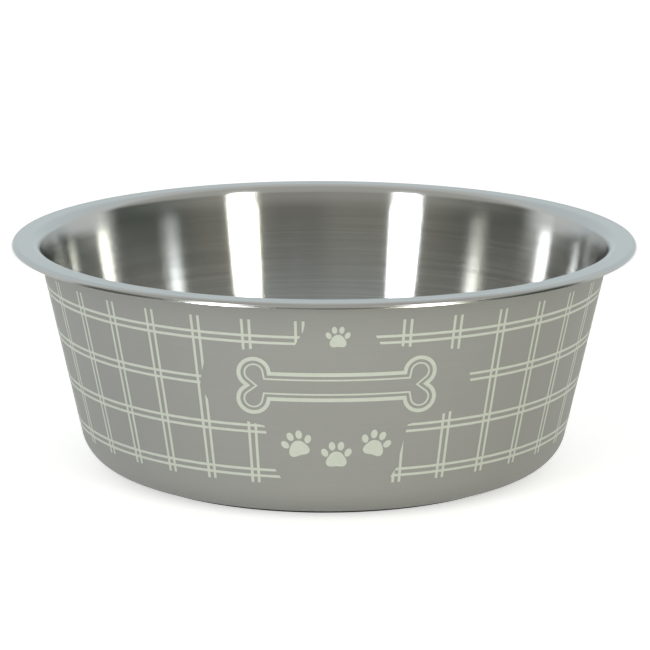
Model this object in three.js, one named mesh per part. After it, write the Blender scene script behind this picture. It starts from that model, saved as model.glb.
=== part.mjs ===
// Dog bowl: a deep-drawn steel pan that flares into a flat rim with a turned-down edge, a lacquer coat
// on its outside, and a rubber foot ring whose lip stands up into the recess under the base.
// Millimetres, +Z up. The origin is on the floor, on the bowl's axis.

import * as THREE from "three";

// Bowl, outside.
const RIM_DIAMETER = 210.5; // over the turned-down edge
const BOWL_HEIGHT = 76.6; // floor to the top of the rim
const FLANGE_WIDTH = 8.34; // flare to edge, measured along the underside of the rim
const WALL_LEAN = 12.25; // degrees from upright
const FLARE_DROP = 7; // rim top to where the wall starts to lean further out
const FLARE_LEAN = 18; // degrees from upright

// Pan, one steel sheet. Each bend radius is the one on the inside of the bend.
const SHEET = 0.8;
const FLARE_BEND = 45;
const RIM_BEND = 3;
const EDGE_BEND = 1;
const EDGE_RUN = 0.1; // straight end of the turned-down edge, on its inside
const EDGE_LEAN = 12; // degrees that the turned-down edge leans out
const BASE_BEND = 11.4;
const KICK_HEIGHT = 3; // rise of the middle of the floor
const KICK_TAPER = 1; // the recess under the base narrows by this much towards its roof
const KICK_BEND = 1;

// Lacquer coat on the outside of the pan.
const LACQUER = 0.25;
const LACQUER_GAP = 0.05;
const EDGE_MASK = 2.4; // bare steel left under the rim, measured from the edge

// Foot ring.
const RING_HEIGHT = 1.5; // floor to the base of the pan
const RING_INSET = 0.4; // flat of the base left outside the ring
const TREAD_WIDTH = 11.5; // from the recess to the outside of the ring
const LIP_THICKNESS = 3;
const RING_CLEARANCE = 0.3;
const GROOVE_COUNT = 2;
const GROOVE_WIDTH = 1.6;
const GROOVE_DEPTH = 0.5;

// Fineness of the round forms.
const TURN_STEPS = 60;
const BEND_SAG = 0.1; // most that a facet lies inside its bend

// Sizes worked out from the ones above.
const lean = THREE.MathUtils.degToRad(WALL_LEAN);
const flareLean = THREE.MathUtils.degToRad(FLARE_LEAN);
const edgeLean = THREE.MathUtils.degToRad(EDGE_LEAN);
const rimRadius = RIM_DIAMETER / 2;
const flangeUnderside = BOWL_HEIGHT - SHEET;
const mouthRadius = rimRadius - FLANGE_WIDTH;
const flareHeight = BOWL_HEIGHT - FLARE_DROP;
const flareRadius = mouthRadius - (flangeUnderside - flareHeight) * Math.tan(flareLean);
const baseRadius = flareRadius - (flareHeight - RING_HEIGHT) * Math.tan(lean);
const edgeBendReach = EDGE_BEND * Math.tan((Math.PI / 2 - edgeLean) / 2);
const edgeDrop = SHEET + (edgeBendReach + EDGE_RUN) * Math.cos(edgeLean);
const edgeRadius = rimRadius - edgeReach(SHEET) - SHEET * Math.cos(edgeLean);
const baseBendReach = (BASE_BEND + SHEET) * Math.tan((Math.PI / 2 - lean) / 2);
const ringRadius = baseRadius - baseBendReach - RING_INSET;
const recessRadius = ringRadius - TREAD_WIDTH;
const recessRoof = RING_HEIGHT + KICK_HEIGHT;
const lipRadius = recessRadius - KICK_TAPER - LIP_THICKNESS;

// Corners of the pan's underside, before bending, from the axis to the turned-down edge.
const roofCentre = corner(0, recessRoof);
const roofCorner = corner(recessRadius - KICK_TAPER, recessRoof, KICK_BEND);
const recessCorner = corner(recessRadius, RING_HEIGHT, KICK_BEND);
const baseCorner = corner(baseRadius, RING_HEIGHT, BASE_BEND);
const flareCorner = corner(flareRadius, flareHeight, FLARE_BEND);
const rimCorner = corner(mouthRadius, flangeUnderside, RIM_BEND);
const edgeCorner = corner(edgeRadius, flangeUnderside, EDGE_BEND);

/** A corner of a bent sheet: radius from the axis, height, and the bend radius on its inside. */
function corner(radius, height, bend = 0) {
  return { at: new THREE.Vector2(radius, height), bend };
}

/** How far the turned-down edge leans out from its corner, on the face `shift` above the underside. */
function edgeReach(shift) {
  return (edgeDrop - SHEET + shift * Math.sin(edgeLean)) * Math.tan(edgeLean);
}

/** The end of the turned-down edge for one face of the sheet, so that the two faces end level. */
function edgeEnd(shift) {
  return corner(edgeRadius + edgeReach(shift), BOWL_HEIGHT - edgeDrop - shift * Math.sin(edgeLean));
}

/** The unit vector to the left of a direction. */
function leftOf(direction) {
  return new THREE.Vector2(-direction.y, direction.x);
}

/**
 * Points along a face of the bent sheet, `shift` to the left of the corners that are given.
 * Shift 0 is the sheet's underside, SHEET its upper face, and less than 0 a layer under the sheet.
 */
function faceOf(corners, shift) {
  const runs = corners.slice(1).map((end, i) => end.at.clone().sub(corners[i].at).normalize());
  const points = [corners[0].at.clone().addScaledVector(leftOf(runs[0]), shift)];
  for (let i = 1; i < runs.length; i += 1) {
    points.push(...bendPoints(corners[i], runs[i - 1], runs[i], shift));
  }
  const last = runs.length - 1;
  points.push(corners[last + 1].at.clone().addScaledVector(leftOf(runs[last]), shift));
  return points;
}

/** Points round one bend of a face, from the end of one straight run to the start of the next. */
function bendPoints(bent, runIn, runOut, shift) {
  const turn = Math.atan2(runIn.cross(runOut), runIn.dot(runOut));
  const side = Math.sign(turn);
  const radius = bent.bend + (side > 0 ? SHEET - shift : shift);
  const mitre = leftOf(runIn).add(leftOf(runOut)).divideScalar(1 + runIn.dot(runOut));
  const tip = bent.at.clone().addScaledVector(mitre, shift);
  const start = tip.addScaledVector(runIn, -radius * Math.tan(Math.abs(turn) / 2));
  const centre = start.clone().addScaledVector(leftOf(runIn), side * radius);
  const facet = 2 * Math.acos(1 - BEND_SAG / (bent.bend + SHEET));
  const steps = Math.max(2, Math.ceil(Math.abs(turn) / facet));
  return Array.from({ length: steps + 1 }, (_, i) =>
    start.clone().rotateAround(centre, (turn * i) / steps),
  );
}

/** A solid turned round the Z axis from a section, given anticlockwise as (radius, height) points. */
function turned(name, section, finish) {
  const geometry = new THREE.LatheGeometry(section, TURN_STEPS);
  geometry.rotateX(Math.PI / 2);
  const mesh = new THREE.Mesh(geometry, new THREE.MeshStandardMaterial(finish));
  mesh.name = name;
  return mesh;
}

/** The pan: the sheet's underside out to the edge, and its upper face back to the axis. */
function makePan() {
  const corners = [
    roofCentre,
    roofCorner,
    recessCorner,
    baseCorner,
    flareCorner,
    rimCorner,
    edgeCorner,
  ];
  const underside = faceOf([...corners, edgeEnd(0)], 0);
  const upperFace = faceOf([...corners, edgeEnd(SHEET)], SHEET);
  const section = [...underside, ...upperFace.reverse()];
  return turned("bowl_pan", section, { color: 0xb4babb, roughness: 0.3, metalness: 1 });
}

/** The lacquer: a thin layer over the outside, from beside the foot ring to the mask under the rim. */
function makeLacquer() {
  const corners = [
    corner(ringRadius + RING_CLEARANCE, RING_HEIGHT),
    baseCorner,
    flareCorner,
    rimCorner,
    corner(rimRadius - EDGE_MASK, flangeUnderside),
  ];
  const outside = faceOf(corners, -LACQUER_GAP - LACQUER);
  const inside = faceOf(corners, -LACQUER_GAP).reverse();
  const section = [...outside, ...inside, outside[0]];
  return turned("outer_lacquer", section, { color: 0x99998f, roughness: 0.42, metalness: 0 });
}

/** Points along the grooves in the foot ring's tread, from its inside to its outside. */
function groovePoints() {
  const pitch = (ringRadius - lipRadius) / (GROOVE_COUNT + 1);
  return Array.from({ length: GROOVE_COUNT }, (_, i) => {
    const inner = lipRadius + pitch * (i + 1) - GROOVE_WIDTH / 2;
    const outer = inner + GROOVE_WIDTH;
    return [
      new THREE.Vector2(inner, 0),
      new THREE.Vector2(inner, GROOVE_DEPTH),
      new THREE.Vector2(outer, GROOVE_DEPTH),
      new THREE.Vector2(outer, 0),
    ];
  }).flat();
}

/** The foot ring: a grooved tread under the base, and a lip that follows the recess. */
function makeRing() {
  const seat = [
    corner(lipRadius, recessRoof),
    roofCorner,
    recessCorner,
    corner(ringRadius, RING_HEIGHT),
  ];
  const foot = new THREE.Vector2(lipRadius, 0);
  const section = [
    foot,
    ...groovePoints(),
    new THREE.Vector2(ringRadius, 0),
    ...faceOf(seat, -RING_CLEARANCE).reverse(),
    foot,
  ];
  return turned("nonslip_ring", section, { color: 0x333333, roughness: 0.85, metalness: 0 });
}

const bowl = new THREE.Group();
bowl.add(makePan(), makeLacquer(), makeRing());

export default bowl;
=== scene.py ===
"""Dog bowl: brushed steel inside, printed lacquer outside, standing on a rubber foot ring.

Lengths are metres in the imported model's frame: the origin is on the floor on the bowl's axis, +Z is up
and the printed front faces -Y.
"""

from __future__ import annotations

import logging
import math
from collections.abc import Sequence
from dataclasses import dataclass
from enum import Enum

import bpy
from mathutils import Euler, Matrix, Vector

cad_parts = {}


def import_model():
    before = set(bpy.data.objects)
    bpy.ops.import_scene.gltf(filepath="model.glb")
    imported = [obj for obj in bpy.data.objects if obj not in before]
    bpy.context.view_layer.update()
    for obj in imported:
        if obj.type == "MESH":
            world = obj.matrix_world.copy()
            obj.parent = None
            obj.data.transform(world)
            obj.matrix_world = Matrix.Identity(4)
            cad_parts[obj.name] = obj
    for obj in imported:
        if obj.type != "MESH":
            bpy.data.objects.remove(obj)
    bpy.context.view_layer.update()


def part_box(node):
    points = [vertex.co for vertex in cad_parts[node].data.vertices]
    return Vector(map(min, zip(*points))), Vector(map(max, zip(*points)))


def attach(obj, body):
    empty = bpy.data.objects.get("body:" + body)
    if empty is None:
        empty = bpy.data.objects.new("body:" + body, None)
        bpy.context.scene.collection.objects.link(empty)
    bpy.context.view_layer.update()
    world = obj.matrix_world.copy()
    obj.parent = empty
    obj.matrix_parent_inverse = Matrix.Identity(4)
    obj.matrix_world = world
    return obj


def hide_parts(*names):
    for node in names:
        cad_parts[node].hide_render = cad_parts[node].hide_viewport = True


log = logging.getLogger("dog_bowl")

Colour = tuple[float, float, float]
Span = tuple[float, float]
Socket = bpy.types.NodeSocket
Material = bpy.types.Material
Piece = bpy.types.Object

MM = 0.001
FULL_TURN = 2 * math.pi
ORIGIN = Vector((0, 0, 0))
UP = Vector((0, 0, 1))
WHITE = (1, 1, 1)
COOL_WHITE = (0.97, 1, 1)
WARM_WHITE = (1, 1, 0.82)
CREAM_WHITE = (1, 1, 0.95)

# Fineness of the round forms.
TURN_STEPS = 240
BEND_SAG = 0.01 * MM  # most that a facet lies inside its bend
RUN_STEP = 8 * MM  # about how far apart the points along a straight run are
HOLD = 0.3 * MM  # how close to the ends of a run a point holds the shading
LONG_RUN = 6 * HOLD  # a run longer than this is divided
MERGE = 0.001 * MM  # points closer than this become one
SHARP_ANGLE = math.radians(35)  # edges sharper than this stay sharp

# The printed ink.
INK_LIFT = 0.01 * MM  # gap between lacquer and ink
INK_FILM = 0.03 * MM  # thickness of the ink


class Body(Enum):
    """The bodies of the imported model."""

    BOWL = "bowl"
    FOOT_RING = "foot_ring"


class Slot(Enum):
    """The record's material slots."""

    STEEL = "steel"
    LACQUER = "lacquer"
    INK = "ink"
    RUBBER = "rubber"


class Blend(Enum):
    """What a Mix node blends: its data type, and the numbers of both inputs and of its output."""

    NUMBER = ("FLOAT", 2, 3, 0)
    VECTOR = ("VECTOR", 4, 5, 1)
    COLOUR = ("RGBA", 6, 7, 2)


class ShaderGraph:
    """Builds the node tree of a material or a world."""

    def __init__(self, owner: bpy.types.ID) -> None:
        """Empty the owner's node tree.

        Args:
            owner: A material or a world.
        """
        owner.use_nodes = True
        self.tree = owner.node_tree
        self.tree.nodes.clear()

    def node(self, kind: str, inputs: dict[str | int, object], **settings: object) -> bpy.types.Node:
        """Add a node.

        Args:
            kind: The node's type.
            inputs: A constant, or a socket to link from, for each input by its name or number. A colour
                is its red, green and blue.
            settings: The node's own properties.

        Returns:
            The new node.
        """
        made = self.tree.nodes.new(kind)
        for name, value in settings.items():
            setattr(made, name, value)
        for key, value in inputs.items():
            target = made.inputs[key]
            if isinstance(value, Socket):
                self.tree.links.new(value, target)
            elif target.type == "RGBA":
                target.default_value = (*value, 1)
            else:
                target.default_value = value
        return made

    def math(self, operation: str, *values: object) -> Socket:
        """The result of a Math node's operation on numbers or sockets."""
        return self.node("ShaderNodeMath", dict(enumerate(values)), operation=operation).outputs[0]

    def spread(self, value: Socket, span: Span) -> Socket:
        """A value of 0 to 1 stretched over a span."""
        inputs = {"Value": value, "To Min": span[0], "To Max": span[1]}
        return self.node("ShaderNodeMapRange", inputs).outputs[0]

    def tint(self, value: Socket, low: Colour, high: Colour, span: Span = (0, 1)) -> Socket:
        """Pick a colour between two.

        Args:
            value: The socket to read, 0 to 1.
            low: Linear red, green and blue at the start of the span.
            high: Linear red, green and blue at its end.
            span: Values between which the colour changes.

        Returns:
            The socket with the colour.
        """
        ramp = self.node("ShaderNodeValToRGB", {"Fac": value})
        for stop, position, colour in zip(ramp.color_ramp.elements, span, (low, high)):
            stop.position = position
            stop.color = (*colour, 1)
        return ramp.outputs["Color"]

    def noise(self, place: Socket, scale: float, detail: float = 2) -> Socket:
        """Soft noise of 0 to 1, with so many waves in a unit of length and octaves of finer detail."""
        inputs = {"Vector": place, "Scale": scale, "Detail": detail}
        return self.node("ShaderNodeTexNoise", inputs).outputs["Fac"]

    def object_place(self) -> Socket:
        """The socket with the piece's own coordinates."""
        return self.node("ShaderNodeTexCoord", {}).outputs["Object"]

    def reach(self) -> Socket:
        """Measure the distance from the Z axis.

        Returns:
            The socket with the distance.
        """
        inputs = {0: self.object_place(), 1: (1, 1, 0)}
        flat = self.node("ShaderNodeVectorMath", inputs, operation="MULTIPLY")
        return self.node("ShaderNodeVectorMath", {0: flat.outputs[0]}, operation="LENGTH").outputs["Value"]

    def beyond(self, reach: float, fade: float) -> Socket:
        """A mask that starts at a distance from the Z axis and rises from 0 to 1 over the fade."""
        inputs = {"Value": self.reach(), "From Min": reach, "From Max": reach + fade}
        return self.node("ShaderNodeMapRange", inputs).outputs[0]

    def mix(self, share: object, before: object, after: object, blend: Blend = Blend.NUMBER) -> Socket:
        """Blend two numbers, vectors or colours.

        Args:
            share: Share of the second one, as a number or a socket.
            before: Constant or socket at a share of 0.
            after: Constant or socket at a share of 1.
            blend: What is blended.

        Returns:
            The socket with the result.
        """
        data_type, first, second, result = blend.value
        inputs = {0: share, first: before, second: after}
        return self.node("ShaderNodeMix", inputs, data_type=data_type).outputs[result]

    def fade(self, place: Socket, span: Span, before: object, after: object) -> Socket:
        """Fade smoothly from one colour into another.

        Args:
            place: The socket that the fade follows.
            span: Its values where the fade starts and ends.
            before: Colour or socket before the fade.
            after: Colour or socket after it.

        Returns:
            The socket with the colour.
        """
        inputs = {"Value": place, "From Min": span[0], "From Max": span[1]}
        share = self.node("ShaderNodeMapRange", inputs, interpolation_type="SMOOTHSTEP").outputs[0]
        return self.mix(share, before, after, Blend.COLOUR)

    def turned_lines(self, line_width: float, line_length: float) -> Socket:
        """Fine lines that run round the Z axis on wall, floor and rim alike.

        Args:
            line_width: Width of a line.
            line_length: Length over which a line fades into another.

        Returns:
            The socket with the lines, 0 to 1.
        """
        axes = self.node("ShaderNodeSeparateXYZ", {"Vector": self.object_place()}).outputs
        across = self.math("ADD", self.reach(), axes["Z"])
        inputs = {
            "X": self.math("DIVIDE", axes["X"], line_length),
            "Y": self.math("DIVIDE", axes["Y"], line_length),
            "Z": self.math("DIVIDE", across, line_width),
        }
        stretched = self.node("ShaderNodeCombineXYZ", inputs)
        return self.noise(stretched.outputs[0], scale=1, detail=3)

    def bump(self, height: Socket, depth: float) -> Socket:
        """The shading normal of a relief, from its height of 0 to 1 and its depth."""
        inputs = {"Height": height, "Distance": depth, "Strength": 1}
        return self.node("ShaderNodeBump", inputs).outputs["Normal"]

    def surface(self, inputs: dict[str | int, object]) -> None:
        """End the tree in a Principled surface with these inputs."""
        shader = self.node("ShaderNodeBsdfPrincipled", inputs)
        self.node("ShaderNodeOutputMaterial", {"Surface": shader.outputs[0]})


@dataclass(frozen=True)
class BrushedSteel:
    """Bare stainless steel, brushed round the bowl's axis and smoother on the edge of the rim."""

    rim_radius: float
    name: str = "brushed_steel"
    dark: Colour = (0.605, 0.61, 0.605)
    light: Colour = (0.705, 0.71, 0.705)
    streak_span: Span = (0.34, 0.66)
    roughness: Span = (0.135, 0.165)
    anisotropy: float = 1.0
    brushing_turn: float = 0.25
    line_width: float = 0.35 * MM
    line_length: float = 45 * MM
    line_depth: float = 0.005 * MM
    streak_width: float = 0.84 * MM
    streak_length: float = 90 * MM
    even_streak: float = 0.5
    flange_width: float = 14 * MM
    flange_fade: float = 5 * MM
    edge_width: float = 2.4 * MM
    edge_fade: float = 0.8 * MM
    edge_roughness: float = 0.11

    def material(self) -> Material:
        """Make the material.

        Returns:
            Steel with fine lines in its colour, roughness and relief.
        """
        made = bpy.data.materials.new(self.name)
        graph = ShaderGraph(made)
        lines = graph.turned_lines(self.line_width, self.line_length)
        streaks = graph.turned_lines(self.streak_width, self.streak_length)
        flange = graph.beyond(self.rim_radius - self.flange_width, self.flange_fade)
        streaks = graph.mix(flange, streaks, self.even_streak)
        edge = graph.beyond(self.rim_radius - self.edge_width, self.edge_fade)
        round_axis = graph.node("ShaderNodeTangent", {}, direction_type="RADIAL", axis="Z").outputs[0]
        look = {
            "Base Color": graph.tint(streaks, self.dark, self.light, self.streak_span),
            "Metallic": 1.0,
            "Roughness": graph.mix(edge, graph.spread(lines, self.roughness), self.edge_roughness),
            "Anisotropic": self.anisotropy,
            "Anisotropic Rotation": self.brushing_turn,
            "Tangent": graph.mix(edge, round_axis, UP, Blend.VECTOR),
            "Normal": graph.bump(lines, self.line_depth),
        }
        graph.surface(look)
        return made


@dataclass(frozen=True)
class SatinLacquer:
    """Warm grey baked lacquer over brushed metal."""

    name: str = "satin_lacquer"
    dark: Colour = (0.308, 0.307, 0.294)
    light: Colour = (0.342, 0.341, 0.328)
    roughness: Span = (0.48, 0.58)
    line_width: float = 0.5 * MM
    line_length: float = 60 * MM
    line_depth: float = 0.004 * MM
    clouds_per_metre: float = 60
    cloud_share: float = 0.4
    gloss: float = 0.15
    coat: float = 0.02
    coat_roughness: float = 0.3

    def material(self) -> Material:
        """Make the material.

        Returns:
            Lacquer with the faint brushing of the metal under it.
        """
        made = bpy.data.materials.new(self.name)
        graph = ShaderGraph(made)
        lines = graph.turned_lines(self.line_width, self.line_length)
        clouds = graph.noise(graph.object_place(), self.clouds_per_metre)
        mixed = graph.mix(self.cloud_share, lines, clouds)
        look = {
            "Base Color": graph.tint(mixed, self.dark, self.light),
            "Roughness": graph.spread(lines, self.roughness),
            "Normal": graph.bump(lines, self.line_depth),
            "Specular IOR Level": self.gloss,
            "Coat Weight": self.coat,
            "Coat Roughness": self.coat_roughness,
        }
        graph.surface(look)
        return made


@dataclass(frozen=True)
class GrainedFinish:
    """A finish whose colour, roughness and relief follow one fine grain."""

    name: str
    dark: Colour
    light: Colour
    roughness: Span
    grain: float
    grain_depth: float
    octaves: float

    def material(self) -> Material:
        """Make the material.

        Returns:
            The finish with its grain.
        """
        made = bpy.data.materials.new(self.name)
        graph = ShaderGraph(made)
        grain = graph.noise(graph.object_place(), 1 / self.grain, self.octaves)
        look = {
            "Base Color": graph.tint(grain, self.dark, self.light),
            "Roughness": graph.spread(grain, self.roughness),
            "Normal": graph.bump(grain, self.grain_depth),
        }
        graph.surface(look)
        return made


@dataclass(frozen=True)
class PrintedInk(GrainedFinish):
    """Pale sage screen ink, a little uneven in cover and gloss."""

    name: str = "printed_ink"
    dark: Colour = (0.532, 0.564, 0.498)
    light: Colour = (0.62, 0.648, 0.584)
    roughness: Span = (0.42, 0.55)
    grain: float = 1.2 * MM
    grain_depth: float = 0.004 * MM
    octaves: float = 4


@dataclass(frozen=True)
class FootRubber(GrainedFinish):
    """Matt dark grey rubber with a fine moulded grain."""

    name: str = "foot_rubber"
    dark: Colour = (0.022, 0.022, 0.022)
    light: Colour = (0.045, 0.045, 0.044)
    roughness: Span = (0.72, 0.9)
    grain: float = 0.4 * MM
    grain_depth: float = 0.02 * MM
    octaves: float = 3


@dataclass(frozen=True)
class Corner:
    """A corner of a bent sheet, in a half section through the axis."""

    radius: float
    height: float
    bend: float = 0.0

    @property
    def at(self) -> Vector:
        """The corner as a flat point."""
        return Vector((self.radius, self.height))


def left_of(run: Vector) -> Vector:
    """The flat direction a quarter turn to the left."""
    return Vector((-run.y, run.x))


@dataclass(frozen=True)
class BowlForm:
    """The half section that every piece of the bowl follows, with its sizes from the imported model."""

    rim_radius: float
    height: float
    base_height: float
    ring_radius: float
    lip_top: float
    flange_width: float = 8.34 * MM
    wall_lean: float = math.radians(12.25)
    flare_drop: float = 7 * MM
    flare_lean: float = math.radians(18)
    flare_bend: float = 45 * MM
    sheet: float = 0.8 * MM
    rim_bend: float = 3 * MM
    edge_bend: float = 1 * MM
    edge_run: float = 0.1 * MM
    edge_lean: float = math.radians(12)
    base_bend: float = 11.4 * MM
    kick_taper: float = 1 * MM
    kick_bend: float = 1 * MM
    tread_width: float = 11.5 * MM
    ring_clearance: float = 0.3 * MM
    lacquer: float = 0.25 * MM
    lacquer_gap: float = 0.05 * MM

    @classmethod
    def from_frame(cls) -> BowlForm:
        """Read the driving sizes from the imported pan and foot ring.

        Returns:
            The form with those sizes.
        """
        pan_low, pan_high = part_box("bowl_pan")
        _, ring_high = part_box("nonslip_ring")
        return cls(
            rim_radius=pan_high.x,
            height=pan_high.z,
            base_height=pan_low.z,
            ring_radius=ring_high.x,
            lip_top=ring_high.z,
        )

    @property
    def flange_underside(self) -> float:
        """Height of the underside of the flat rim."""
        return self.height - self.sheet

    @property
    def mouth_radius(self) -> float:
        """Radius where the wall's outside would meet the underside of the rim."""
        return self.rim_radius - self.flange_width

    @property
    def flare_height(self) -> float:
        """Height where the wall starts to lean further out."""
        return self.height - self.flare_drop

    @property
    def flare_radius(self) -> float:
        """Radius of the wall's outside at that height."""
        rise = self.flange_underside - self.flare_height
        return self.mouth_radius - rise * math.tan(self.flare_lean)

    @property
    def recess_radius(self) -> float:
        """Radius of the recess under the base, at its mouth."""
        return self.ring_radius - self.tread_width

    @property
    def recess_roof(self) -> float:
        """Height of the roof of the recess."""
        return self.lip_top + self.ring_clearance

    def steel_radius(self, height: float) -> float:
        """Radius of the wall's steel outside at a height."""
        return self.flare_radius - (self.flare_height - height) * math.tan(self.wall_lean)

    def print_radius(self, height: float) -> float:
        """Radius of the lacquered wall at a height."""
        depth = self.lacquer + self.lacquer_gap
        return self.steel_radius(height) + depth / math.cos(self.wall_lean)

    def roof_corner(self) -> Corner:
        """Edge of the roof of the recess."""
        return Corner(self.recess_radius - self.kick_taper, self.recess_roof, self.kick_bend)

    def recess_corner(self) -> Corner:
        """Edge of the mouth of the recess."""
        return Corner(self.recess_radius, self.base_height, self.kick_bend)

    def base_corner(self) -> Corner:
        """Where base and wall would meet."""
        return Corner(self.steel_radius(self.base_height), self.base_height, self.base_bend)

    def flare_corner(self) -> Corner:
        """Where wall and flare would meet."""
        return Corner(self.flare_radius, self.flare_height, self.flare_bend)

    def rim_corner(self) -> Corner:
        """Where flare and rim would meet."""
        return Corner(self.mouth_radius, self.flange_underside, self.rim_bend)

    @property
    def edge_drop(self) -> float:
        """Depth of the turned-down edge, from the top of the rim to its lower end."""
        reach = self.edge_bend * math.tan((math.pi / 2 - self.edge_lean) / 2)
        return self.sheet + (reach + self.edge_run) * math.cos(self.edge_lean)

    def edge_reach(self, shift: float) -> float:
        """How far the turned-down edge leans out, on the face that lies so far above the underside."""
        drop = self.edge_drop - self.sheet + shift * math.sin(self.edge_lean)
        return drop * math.tan(self.edge_lean)

    def edge_corner(self) -> Corner:
        """Where rim and turned-down edge would meet."""
        lip = self.edge_reach(self.sheet) + self.sheet * math.cos(self.edge_lean)
        return Corner(self.rim_radius - lip, self.flange_underside, self.edge_bend)

    def edge_end(self, shift: float) -> Corner:
        """End of the turned-down edge on a face of the sheet, cut level."""
        height = self.height - self.edge_drop - shift * math.sin(self.edge_lean)
        return Corner(self.edge_corner().radius + self.edge_reach(shift), height)

    def pan_face(self, shift: float) -> list[Vector]:
        """Points along a face of the pan, from the axis to the end of the turned-down edge.

        Args:
            shift: 0 for the underside, the sheet's thickness for the upper face.

        Returns:
            Flat points of radius and height.
        """
        corners = [
            Corner(0, self.recess_roof),
            self.roof_corner(),
            self.recess_corner(),
            self.base_corner(),
            self.flare_corner(),
            self.rim_corner(),
            self.edge_corner(),
            self.edge_end(shift),
        ]
        return held_runs(self.face(corners, shift))

    def bend_points(self, bent: Corner, run_in: Vector, run_out: Vector, shift: float) -> list[Vector]:
        """Points round one bend of a face.

        Args:
            bent: The corner to bend.
            run_in: Direction of the straight run before it.
            run_out: Direction of the straight run after it.
            shift: How far the face lies to the left of the corners.

        Returns:
            Flat points from the end of one run to the start of the next.
        """
        turn = math.atan2(run_in.cross(run_out), run_in.dot(run_out))
        side = math.copysign(1, turn)
        radius = bent.bend + (self.sheet - shift if turn > 0 else shift)
        mitre = (left_of(run_in) + left_of(run_out)) / (1 + run_in.dot(run_out))
        start = bent.at + mitre * shift - run_in * radius * math.tan(abs(turn) / 2)
        centre = start + left_of(run_in) * side * radius
        facet = 2 * math.acos(1 - BEND_SAG / (bent.bend + self.sheet))
        steps = max(2, math.ceil(abs(turn) / facet))
        spoke = start - centre
        return [centre + Matrix.Rotation(turn * i / steps, 2) @ spoke for i in range(steps + 1)]

    def face(self, corners: Sequence[Corner], shift: float) -> list[Vector]:
        """Points along a face of the bent sheet.

        Args:
            corners: Corners of the sheet's underside.
            shift: 0 for the underside, the sheet's thickness for the upper face, less than 0 for
                a layer under the sheet.

        Returns:
            Flat points of radius and height.
        """
        runs = [(end.at - start.at).normalized() for start, end in zip(corners, corners[1:])]
        points = [corners[0].at + left_of(runs[0]) * shift]
        for bent, run_in, run_out in zip(corners[1:], runs, runs[1:]):
            points += self.bend_points(bent, run_in, run_out, shift)
        points.append(corners[-1].at + left_of(runs[-1]) * shift)
        return points


def held_runs(points: Sequence[Vector]) -> list[Vector]:
    """Divide the long straight runs of a section, with a point near each end to hold the shading.

    Args:
        points: Flat points along the section.

    Returns:
        The points with the added ones among them.
    """
    held = [points[0]]
    for start, end in zip(points, points[1:]):
        length = (end - start).length
        if length > LONG_RUN:
            along = (end - start) / length
            inner = length - 2 * HOLD
            steps = max(1, round(inner / RUN_STEP))
            held += [start + along * (HOLD + inner * i / steps) for i in range(steps + 1)]
        held.append(end)
    return held


def select_only(piece: Piece) -> None:
    """Select one object and make it active.

    Args:
        piece: The object.
    """
    bpy.ops.object.select_all(action="DESELECT")
    piece.select_set(True)
    bpy.context.view_layer.objects.active = piece


def start_edit(piece: Piece) -> None:
    """Open a piece in edit mode with all of its mesh selected.

    Args:
        piece: The piece to open.
    """
    select_only(piece)
    bpy.ops.object.mode_set(mode="EDIT")
    bpy.ops.mesh.select_mode(type="VERT")
    bpy.ops.mesh.select_all(action="SELECT")


def end_edit() -> None:
    """Go back to object mode."""
    bpy.ops.object.mode_set(mode="OBJECT")


def draw_line(name: str, points: Sequence[Vector]) -> Piece:
    """Draw a line of edges: one vertex extruded from point to point.

    Args:
        name: Name of the new piece.
        points: Points of the line.

    Returns:
        The new piece, in object mode.
    """
    bpy.ops.object.select_all(action="DESELECT")
    bpy.ops.mesh.primitive_plane_add(size=MM)
    drawn = bpy.context.active_object
    drawn.name = drawn.data.name = name
    start_edit(drawn)
    bpy.ops.mesh.merge(type="CENTER")
    bpy.ops.transform.translate(value=points[0])
    for start, end in zip(points, points[1:]):
        bpy.ops.mesh.extrude_vertices_move(TRANSFORM_OT_translate={"value": end - start})
    end_edit()
    return drawn


def fill_outline(name: str, outline: Sequence[Vector]) -> Piece:
    """Fill an outline with one face.

    Args:
        name: Name of the new piece.
        outline: Points round the outline.

    Returns:
        The new piece, in object mode.
    """
    filled = draw_line(name, [*outline, outline[0]])
    start_edit(filled)
    bpy.ops.mesh.remove_doubles(threshold=MERGE)
    bpy.ops.mesh.edge_face_add()
    end_edit()
    return filled


def spin_round(piece: Piece) -> None:
    """Spin a drawn section into a closed form round the Z axis.

    Args:
        piece: The piece that holds the section.
    """
    start_edit(piece)
    bpy.ops.mesh.spin(steps=TURN_STEPS, angle=FULL_TURN, center=ORIGIN, axis=UP)
    bpy.ops.mesh.select_all(action="SELECT")
    bpy.ops.mesh.remove_doubles(threshold=MERGE)
    bpy.ops.mesh.normals_make_consistent(inside=False)
    end_edit()


def turned(name: str, section: Sequence[Vector]) -> Piece:
    """Turn a solid from a half section.

    Args:
        name: Name of the new piece.
        section: Flat points of radius and height, that end on the axis or where they start.

    Returns:
        The new piece.
    """
    piece = draw_line(name, [Vector((point.x, 0, point.y)) for point in section])
    spin_round(piece)
    return piece


def apply_modifier(piece: Piece, kind: str, **settings: object) -> None:
    """Add a modifier and apply it.

    Args:
        piece: The piece to change.
        kind: The modifier's type.
        settings: The modifier's own properties.
    """
    select_only(piece)
    modifier = piece.modifiers.new(kind.title(), kind)
    for name, value in settings.items():
        setattr(modifier, name, value)
    bpy.ops.object.modifier_apply(modifier=modifier.name)


def join(pieces: Sequence[Piece], name: str) -> Piece:
    """Join pieces into the first of them.

    Args:
        pieces: The pieces to join.
        name: Name of the joined piece.

    Returns:
        The joined piece.
    """
    select_only(pieces[0])
    for piece in pieces:
        piece.select_set(True)
    bpy.ops.object.join()
    pieces[0].name = pieces[0].data.name = name
    return pieces[0]


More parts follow.
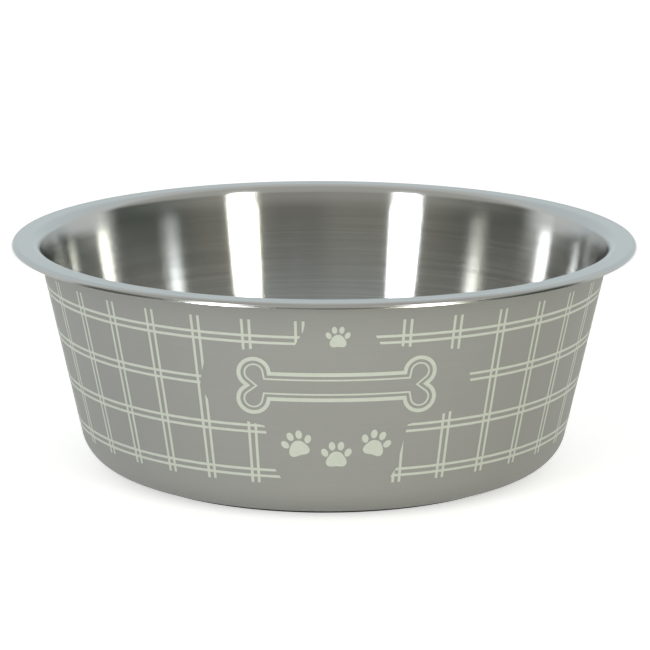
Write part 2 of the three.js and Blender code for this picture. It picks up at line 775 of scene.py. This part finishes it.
def fit(piece: Piece, body: Body, finish: Material) -> None:
    """Shade a piece smooth, with its corners kept sharp, and give it its finish and its body.

    Args:
        piece: The finished mesh.
        body: The body that it moves with.
        finish: Its material.
    """
    piece.data.materials.clear()
    piece.data.materials.append(finish)
    select_only(piece)
    bpy.ops.object.shade_smooth_by_angle(angle=SHARP_ANGLE)
    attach(piece, body.value)
    log.info("%s: %d faces on %s", piece.name, len(piece.data.polygons), body.value)


@dataclass
class BowlPan:
    """The drawn steel sheet: floor, wall, flat rim and turned-down edge."""

    form: BowlForm
    piece: Piece | None = None

    def build(self) -> None:
        """Turn the sheet from its underside and its upper face."""
        underside = self.form.pan_face(0)
        upper_face = self.form.pan_face(self.form.sheet)
        self.piece = turned("steel_pan", underside + upper_face[::-1])

    def dress(self) -> None:
        """Brush the steel and put it on the bowl."""
        finish = BrushedSteel(self.form.rim_radius)
        fit(self.piece, Body.BOWL, finish.material())
        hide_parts("bowl_pan")


@dataclass
class LacquerCoat:
    """The lacquer on the outside of the pan, from the foot ring to a mask line under the rim."""

    form: BowlForm
    edge_mask: float = 2.4 * MM
    finish: SatinLacquer = SatinLacquer()
    piece: Piece | None = None

    def build(self) -> None:
        """Turn the coat from its outside and its inside."""
        form = self.form
        corners = [
            Corner(form.ring_radius + form.ring_clearance, form.base_height),
            form.base_corner(),
            form.flare_corner(),
            form.rim_corner(),
            Corner(form.rim_radius - self.edge_mask, form.flange_underside),
        ]
        outside = held_runs(form.face(corners, -form.lacquer_gap - form.lacquer))
        inside = held_runs(form.face(corners, -form.lacquer_gap))
        self.piece = turned("lacquer_coat", outside + inside[::-1] + outside[:1])

    def dress(self) -> None:
        """Lacquer the coat and put it on the bowl."""
        fit(self.piece, Body.BOWL, self.finish.material())
        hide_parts("outer_lacquer")


def lay_ink(piece: Piece, coat: LacquerCoat, lift: float, **wrap: object) -> None:
    """Lay flat shapes on the lacquer and give them the ink's thickness.

    Args:
        piece: The flat shapes.
        coat: The lacquer under them.
        lift: Gap under the ink.
        wrap: How the shapes find the lacquer, as properties of a Shrinkwrap modifier.
    """
    apply_modifier(piece, "SHRINKWRAP", target=coat.piece, wrap_mode="ABOVE_SURFACE", offset=lift, **wrap)
    apply_modifier(piece, "SOLIDIFY", thickness=INK_FILM, offset=1)


@dataclass
class CheckPrint:
    """The printed check: pairs of upright and level strokes, left out round the front motif."""

    form: BowlForm
    coat: LacquerCoat
    ink: Material
    pair_count: int = 35
    first_pair: float = math.radians(3.0)
    pair_angle: float = math.radians(1.45)
    stroke: float = 0.88 * MM
    upright_low: float = 13.2 * MM
    upright_high: float = 68.8 * MM
    upright_steps: int = 14
    level_heights: tuple[float, ...] = (16.7 * MM, 31.85 * MM, 47.1 * MM, 62.35 * MM)
    level_gap: float = 2.15 * MM
    wobble: float = 0.05 * MM
    upright_seed: int = 3
    level_seed: int = 5
    # Half the window's width at each height, from below.
    window: tuple[tuple[float, float], ...] = (
        (14 * MM, 10 * MM),
        (19 * MM, 18 * MM),
        (22.5 * MM, 33 * MM),
        (38 * MM, 36.5 * MM),
        (42.6 * MM, 45 * MM),
        (42 * MM, 50 * MM),
        (40.5 * MM, 57 * MM),
        (13.3 * MM, 60.8 * MM),
        (10.8 * MM, 65.5 * MM),
        (9.5 * MM, 72 * MM),
    )
    uprights: Piece | None = None
    levels: Piece | None = None

    def build(self) -> None:
        """Print both sets of strokes and cut them back from the motif's window."""
        self.uprights = self.build_uprights()
        self.levels = self.build_levels()
        mask = self.build_window()
        for piece, lift in ((self.uprights, 2 * INK_LIFT), (self.levels, INK_LIFT)):
            lay_ink(piece, self.coat, lift, wrap_method="NEAREST_SURFACEPOINT")
            apply_modifier(piece, "BOOLEAN", operation="DIFFERENCE", object=mask, solver="EXACT")
        bpy.data.objects.remove(mask)

    def upright(self, angle: float) -> Piece:
        """Make one upright stroke.

        Args:
            angle: Its place round the bowl, from the front.

        Returns:
            A strip on the wall.
        """
        middle = (self.upright_low + self.upright_high) / 2
        length = (self.upright_high - self.upright_low) / math.cos(self.form.wall_lean)
        radius = self.form.print_radius(middle)
        bpy.ops.object.select_all(action="DESELECT")
        bpy.ops.mesh.primitive_grid_add(x_subdivisions=1, y_subdivisions=self.upright_steps, size=1)
        strip = bpy.context.active_object
        strip.scale = (self.stroke, length, 1)
        strip.rotation_euler = Euler((math.pi / 2 + self.form.wall_lean, 0, angle))
        strip.location = (radius * math.sin(angle), -radius * math.cos(angle), middle)
        bpy.ops.object.transform_apply(location=True, rotation=True, scale=True)
        return strip

    def build_uprights(self) -> Piece:
        """Make a pair of upright strokes and repeat it round the bowl.

        Returns:
            All upright strokes as strips.
        """
        half = self.pair_angle / 2
        strips = [self.upright(self.first_pair - half), self.upright(self.first_pair + half)]
        piece = join(strips, "check_uprights")
        start_edit(piece)
        bpy.ops.transform.vertex_random(offset=self.wobble, seed=self.upright_seed, wait_for_input=False)
        repeats = self.pair_count - 1
        angle = FULL_TURN * repeats / self.pair_count
        bpy.ops.mesh.spin(steps=repeats, angle=angle, dupli=True, center=ORIGIN, axis=UP)
        end_edit()
        return piece

    def build_levels(self) -> Piece:
        """Spin a short slanted edge into each level stroke.

        Returns:
            All level strokes as rings.
        """
        slant = self.stroke / 2 * math.cos(self.form.wall_lean)
        half = self.level_gap / 2
        edges = []
        for middle in [height + side * half for height in self.level_heights for side in (-1, 1)]:
            levels = (middle - slant, middle + slant)
            ends = [Vector((self.form.print_radius(level), 0, level)) for level in levels]
            edges.append(draw_line("level_stroke", ends))
        piece = join(edges, "check_levels")
        spin_round(piece)
        start_edit(piece)
        bpy.ops.transform.vertex_random(offset=self.wobble, seed=self.level_seed, wait_for_input=False)
        end_edit()
        return piece

    def build_window(self) -> Piece:
        """Make the block that clears the check round the motif.

        Returns:
            A block through the front wall, as wide as the window at each height.
        """
        near = -self.form.rim_radius
        right = [Vector((half, near, height)) for half, height in self.window]
        left = [Vector((-half, near, height)) for half, height in reversed(self.window)]
        block = fill_outline("motif_window", right + left)
        start_edit(block)
        through = Vector((0, self.form.rim_radius / 2, 0))
        bpy.ops.mesh.extrude_region_move(TRANSFORM_OT_translate={"value": through})
        bpy.ops.mesh.select_all(action="SELECT")
        bpy.ops.mesh.normals_make_consistent(inside=False)
        end_edit()
        return block

    def dress(self) -> None:
        """Ink the strokes and put them on the bowl."""
        for piece in (self.uprights, self.levels):
            fit(piece, Body.BOWL, self.ink)


@dataclass(frozen=True)
class Placing:
    """Where a flat shape stands, how far it turns to the left and how large it is."""

    across: float
    up: float
    turn: float
    scale: float = 1


@dataclass
class FrontMotif:
    """The printed front motif: a bone in a double line, one paw print above it and three below."""

    form: BowlForm
    coat: LacquerCoat
    ink: Material
    bone_height: float = 46.6 * MM
    bone_length: float = 52 * MM
    lobe_radius: float = 5.3 * MM
    lobe_spread: float = 4.4 * MM
    shaft_half: float = 4.9 * MM
    lobe_steps: int = 20
    outer_line: float = 1.25 * MM
    line_gap: float = 0.95 * MM
    inner_line: float = 0.55 * MM
    slice_width: float = 1.5 * MM
    paws: tuple[Placing, ...] = (
        Placing(across=0, up=63.2 * MM, turn=0, scale=0.72),
        Placing(across=-12.2 * MM, up=26.8 * MM, turn=0.3, scale=0.9),
        Placing(across=0, up=23.2 * MM, turn=0, scale=0.9),
        Placing(across=12.2 * MM, up=26.8 * MM, turn=-0.3, scale=0.9),
    )
    pad_radius: float = 3 * MM
    pad_steps: int = 36
    pad_corners: int = 3
    toe_steps: int = 20
    # The rest of a paw, in pad radii, with the toes of its right half.
    pad_half_width: float = 1.15
    pad_drop: float = 0.5
    pad_wave: float = 0.13
    toe_half_width: float = 0.38
    toe_half_height: float = 0.55
    toes: tuple[Placing, ...] = (
        Placing(across=0.52, up=1.25, turn=-0.14),
        Placing(across=1.36, up=0.42, turn=-0.5),
    )
    piece: Piece | None = None

    def build(self) -> None:
        """Draw the motif flat in front of the bowl and project it on to the lacquer."""
        parts = [self.bone()]
        for paw in self.paws:
            parts += self.paw(paw)
        self.piece = join(parts, "front_motif")
        self.slice_up()
        lay_ink(self.piece, self.coat, INK_LIFT, wrap_method="PROJECT", use_project_y=True)

    def flat_shape(self, name: str, outline: Sequence[Vector]) -> Piece:
        """Fill an outline with a face that looks to the front.

        Args:
            name: Name of the new piece.
            outline: Flat points round the shape, to the right and upwards.

        Returns:
            The filled shape.
        """
        points = [Vector((point.x, -self.form.rim_radius, point.y)) for point in outline]
        shape = fill_outline(name, points)
        if shape.data.polygons[0].normal.y > 0:
            start_edit(shape)
            bpy.ops.mesh.flip_normals()
            end_edit()
        return shape

    def bone_outline(self) -> list[Vector]:
        """The bone's outline: a lobe at each corner, joined by the straight shaft.

        Returns:
            Flat points round the bone.
        """
        lobe = Vector((self.bone_length / 2, self.lobe_spread))
        first = -math.asin(self.lobe_spread / self.lobe_radius)
        last = math.pi + math.asin((self.lobe_spread - self.shaft_half) / self.lobe_radius)
        top_right = []
        for i in range(self.lobe_steps + 1):
            angle = first + (last - first) * i / self.lobe_steps
            top_right.append(lobe + Vector((math.cos(angle), math.sin(angle))) * self.lobe_radius)
        top_left = [Vector((-point.x, point.y)) for point in reversed(top_right)]
        top = top_right + top_left
        bottom = [-point for point in top]
        centre = Vector((0, self.bone_height))
        return [centre + point for point in top + bottom]

    def bone(self) -> Piece:
        """Draw the bone as a broad line and a thin one inside it.

        Returns:
            Both lines as flat bands.
        """
        shape = self.flat_shape("motif_bone", self.bone_outline())
        start_edit(shape)
        bpy.ops.mesh.inset(thickness=self.outer_line, depth=0)
        bpy.ops.mesh.separate(type="SELECTED")
        end_edit()
        inside = next(piece for piece in bpy.context.selected_objects if piece != shape)
        start_edit(inside)
        bpy.ops.mesh.inset(thickness=self.line_gap, depth=0)
        bpy.ops.mesh.select_mode(type="FACE")
        bpy.ops.mesh.select_all(action="INVERT")
        bpy.ops.mesh.delete(type="FACE")
        bpy.ops.mesh.select_all(action="SELECT")
        bpy.ops.mesh.inset(thickness=self.inner_line, depth=0)
        bpy.ops.mesh.delete(type="FACE")
        end_edit()
        return join([shape, inside], "motif_bone")

    def paw(self, placing: Placing) -> list[Piece]:
        """Draw one paw print.

        Args:
            placing: Its place, turn and size on the front.

        Returns:
            Its pad and toes.
        """
        outlines = [self.pad_outline()]
        for side in (-1, 1):
            outlines += [self.toe_outline(toe, side) for toe in self.toes]
        turn = Matrix.Rotation(placing.turn, 2) * self.pad_radius * placing.scale
        middle = Vector((placing.across, placing.up))
        return [
            self.flat_shape("motif_paw", [middle + turn @ point for point in outline])
            for outline in outlines
        ]

    def pad_outline(self) -> list[Vector]:
        """Points round the pad, in pad radii.

        Returns:
            The outline of a wide pad with rounded corners.
        """
        outline = []
        for i in range(self.pad_steps):
            angle = FULL_TURN * i / self.pad_steps
            reach = 1 - self.pad_wave * math.sin(self.pad_corners * angle)
            point = Vector((self.pad_half_width * math.cos(angle), math.sin(angle) - self.pad_drop))
            outline.append(point * reach)
        return outline

    def toe_outline(self, toe: Placing, side: int) -> list[Vector]:
        """Points round one toe, in pad radii.

        Args:
            toe: Its place and turn on the right.
            side: 1 for the right half of the paw, -1 for the left.

        Returns:
            The outline of an upright ellipse that leans.
        """
        lean = Matrix.Rotation(side * toe.turn, 2)
        middle = Vector((side * toe.across, toe.up))
        outline = []
        for i in range(self.toe_steps):
            angle = FULL_TURN * i / self.toe_steps
            across = self.toe_half_width * math.cos(angle)
            up = self.toe_half_height * math.sin(angle)
            outline.append(middle + lean @ Vector((across, up)))
        return outline

    def slice_up(self) -> None:
        """Cut the flat shapes into upright slices, so that they can follow the round wall."""
        reach = self.bone_length / 2 + self.lobe_radius
        count = math.ceil(2 * reach / self.slice_width)
        start_edit(self.piece)
        for i in range(1, count):
            place = Vector((-reach + 2 * reach * i / count, 0, 0))
            bpy.ops.mesh.select_all(action="SELECT")
            bpy.ops.mesh.bisect(plane_co=place, plane_no=(1, 0, 0))
        end_edit()

    def dress(self) -> None:
        """Ink the motif and put it on the bowl."""
        fit(self.piece, Body.BOWL, self.ink)


@dataclass
class FootRing:
    """The rubber foot ring: a grooved tread, and a lip that stands up into the recess."""

    form: BowlForm
    lip_thickness: float = 3 * MM
    groove_count: int = 2
    groove_width: float = 1.6 * MM
    groove_depth: float = 0.5 * MM
    edge_round: float = 0.2 * MM
    round_steps: int = 3
    rounded_from: float = math.radians(60)
    finish: FootRubber = FootRubber()
    piece: Piece | None = None

    def section(self) -> list[Vector]:
        """The ring's half section.

        Returns:
            Flat points round the section, that end where they start.
        """
        form = self.form
        lip_radius = form.recess_radius - form.kick_taper - self.lip_thickness
        pitch = (form.ring_radius - lip_radius) / (self.groove_count + 1)
        points = [Vector((lip_radius, 0))]
        for i in range(1, self.groove_count + 1):
            inner = lip_radius + pitch * i - self.groove_width / 2
            outer = inner + self.groove_width
            points += [Vector((inner, 0)), Vector((inner, self.groove_depth))]
            points += [Vector((outer, self.groove_depth)), Vector((outer, 0))]
        points.append(Vector((form.ring_radius, 0)))
        seat = [
            Corner(lip_radius, form.recess_roof),
            form.roof_corner(),
            form.recess_corner(),
            Corner(form.ring_radius, form.base_height),
        ]
        points += form.face(seat, -form.ring_clearance)[::-1]
        return points + points[:1]

    def build(self) -> None:
        """Turn the ring and round its edges as a mould leaves them."""
        self.piece = turned("rubber_ring", self.section())
        start_edit(self.piece)
        bpy.ops.mesh.select_all(action="DESELECT")
        bpy.ops.mesh.edges_select_sharp(sharpness=self.rounded_from)
        bpy.ops.mesh.bevel(offset=self.edge_round, segments=self.round_steps, affect="EDGES")
        end_edit()

    def dress(self) -> None:
        """Put the rubber ring on its own body."""
        fit(self.piece, Body.FOOT_RING, self.finish.material())
        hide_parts("nonslip_ring")


def direction(bearing: float, elevation: float) -> Vector:
    """The unit vector to a bearing, to the right of the front, and an elevation above the floor."""
    level = math.cos(elevation)
    return Vector((level * math.sin(bearing), -level * math.cos(bearing), math.sin(elevation)))


@dataclass
class PhotoCamera:
    """The camera at the photograph's viewing angle, with lens and sensor in millimetres."""

    bearing: float = math.radians(-2.7)
    elevation: float = math.radians(13.04)
    distance: float = 1027.8 * MM
    lens: float = 167.44
    sensor: float = 36
    aim: tuple[float, float, float] = (0.35 * MM, 0, 45.72 * MM)
    roll: float = 0.0026

    def build(self) -> None:
        """Add the camera and make it the scene's own."""
        away = direction(self.bearing, self.elevation)
        bpy.ops.object.camera_add(location=Vector(self.aim) + away * self.distance)
        camera = bpy.context.active_object
        camera.name = "photo_camera"
        turn = away.to_track_quat("Z", "Y").to_matrix() @ Matrix.Rotation(self.roll, 3, "Z")
        camera.rotation_euler = turn.to_euler()
        camera.data.lens = self.lens
        camera.data.sensor_width = self.sensor
        bpy.context.scene.camera = camera


@dataclass(frozen=True)
class Softbox:
    """A rectangular studio lamp facing the bowl, placed in degrees. A brightness of 1 looks white."""

    name: str
    bearing: float
    elevation: float
    width: float
    height: float
    brightness: float
    colour: Colour
    distance: float = 1.5

    def build(self) -> None:
        """Add the lamp."""
        away = direction(math.radians(self.bearing), math.radians(self.elevation))
        bpy.ops.object.light_add(type="AREA", location=away * self.distance)
        lamp = bpy.context.active_object
        lamp.name = self.name
        lamp.rotation_euler = away.to_track_quat("Z", "Y").to_euler()
        lamp.visible_camera = False
        lamp.data.color = self.colour
        lamp.data.shape = "RECTANGLE"
        lamp.data.size = self.width
        lamp.data.size_y = self.height
        lamp.data.energy = self.brightness * math.pi * self.width * self.height


@dataclass
class Studio:
    """The pale floor, the soft surroundings and the lamps."""

    floor_size: float = 8.0
    floor_colour: Colour = (0.95, 0.95, 0.95)
    floor_glow: float = 0.55
    front: Colour = (0.19, 0.182, 0.149)
    shade: Colour = (0.128, 0.12, 0.102)
    shade_at: float = 0.15
    left: Colour = (0.09, 0.093, 0.08)
    right: Colour = (0.055, 0.07, 0.055)
    wing: Colour = (0.66, 0.675, 0.655)
    back: Colour = (0.62, 0.685, 0.7)
    horizon: Colour = (0.12, 0.115, 0.1)
    zenith: Colour = (0.6, 0.595, 0.56)
    overhead: Colour = (0.46, 0.455, 0.425)
    # Spans of a direction's X, Y or Z over which the surroundings fade from one colour to another.
    shade_fade: Span = (0.1, 0.3)
    left_fade: Span = (-0.95, -0.7)
    right_fade: Span = (0.7, 0.95)
    wing_fade: Span = (0.55, 0.9)
    horizon_fade: Span = (0.02, 0.14)
    overhead_fade: Span = (0.25, 0.55)
    zenith_fade: Span = (0.5, 0.98)
    back_fade: Span = (0.08, 0.3)
    lamps: tuple[Softbox, ...] = (
        Softbox("left_softbox", -39.5, 9.5, width=0.35, height=0.5, brightness=11, colour=COOL_WHITE),
        Softbox("right_softbox", 34, 9.5, width=0.34, height=0.5, brightness=9.6, colour=WARM_WHITE),
        Softbox("left_upper", -42, 30, width=0.26, height=0.6, brightness=4.2, colour=COOL_WHITE),
        Softbox("right_upper", 36.5, 30, width=0.26, height=0.6, brightness=4.2, colour=CREAM_WHITE),
    )

    def build(self) -> None:
        """Set up floor, surroundings and lamps."""
        self.build_floor()
        self.build_surroundings()
        for lamp in self.lamps:
            lamp.build()
        bpy.context.scene.view_settings.view_transform = "Standard"

    def build_floor(self) -> None:
        """Lay the floor."""
        bpy.ops.object.select_all(action="DESELECT")
        bpy.ops.mesh.primitive_plane_add(size=self.floor_size)
        floor = bpy.context.active_object
        floor.name = "floor"
        floor.data.materials.append(self.floor_material())

    def floor_material(self) -> Material:
        """Make the floor's material.

        Returns:
            A pale matt surface that looks white where it is fully lit and keeps the shadow.
        """
        made = bpy.data.materials.new("studio_floor")
        graph = ShaderGraph(made)
        matt = graph.node("ShaderNodeBsdfDiffuse", {"Color": self.floor_colour})
        rays = graph.node("ShaderNodeLightPath", {}).outputs
        seen = graph.math("MAXIMUM", rays["Is Camera Ray"], rays["Is Glossy Ray"])
        seen = graph.math("MAXIMUM", seen, rays["Is Transmission Ray"])
        glow = graph.math("MULTIPLY", seen, self.floor_glow)
        white = graph.node("ShaderNodeEmission", {"Color": WHITE, "Strength": glow})
        both = graph.node("ShaderNodeAddShader", {0: matt.outputs[0], 1: white.outputs[0]})
        graph.node("ShaderNodeOutputMaterial", {"Surface": both.outputs[0]})
        return made

    def build_surroundings(self) -> None:
        """Light the scene from all round: dim in front and at the sides, pale behind and overhead."""
        world = bpy.data.worlds.new("studio")
        bpy.context.scene.world = world
        graph = ShaderGraph(world)
        looking = graph.node("ShaderNodeTexCoord", {}).outputs["Generated"]
        axes = graph.node("ShaderNodeSeparateXYZ", {"Vector": looking}).outputs
        aside = graph.math("ABSOLUTE", axes["X"])
        behind = graph.fade(aside, self.wing_fade, self.back, self.wing)
        behind = graph.fade(axes["Z"], self.zenith_fade, behind, self.zenith)
        off_shade = graph.math("ABSOLUTE", graph.math("SUBTRACT", axes["X"], self.shade_at))
        colour = graph.fade(off_shade, self.shade_fade, self.shade, self.front)
        colour = graph.fade(axes["X"], self.left_fade, self.left, colour)
        colour = graph.fade(axes["X"], self.right_fade, colour, self.right)
        colour = graph.fade(axes["Z"], self.horizon_fade, self.horizon, colour)
        colour = graph.fade(axes["Z"], self.overhead_fade, colour, self.overhead)
        colour = graph.fade(axes["Y"], self.back_fade, colour, behind)
        sky = graph.node("ShaderNodeBackground", {"Color": colour, "Strength": 1})
        graph.node("ShaderNodeOutputWorld", {"Surface": sky.outputs[0]})


def main() -> None:
    """Build the bowl, its print, its foot ring and the studio."""
    logging.basicConfig(level=logging.INFO)
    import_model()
    PhotoCamera().build()
    Studio().build()
    form = BowlForm.from_frame()
    ink = PrintedInk().material()
    coat = LacquerCoat(form)
    pieces = [
        BowlPan(form),
        coat,
        CheckPrint(form, coat, ink),
        FrontMotif(form, coat, ink),
        FootRing(form),
    ]
    for piece in pieces:
        piece.build()
        piece.dress()


if __name__ == "__main__":
    main()
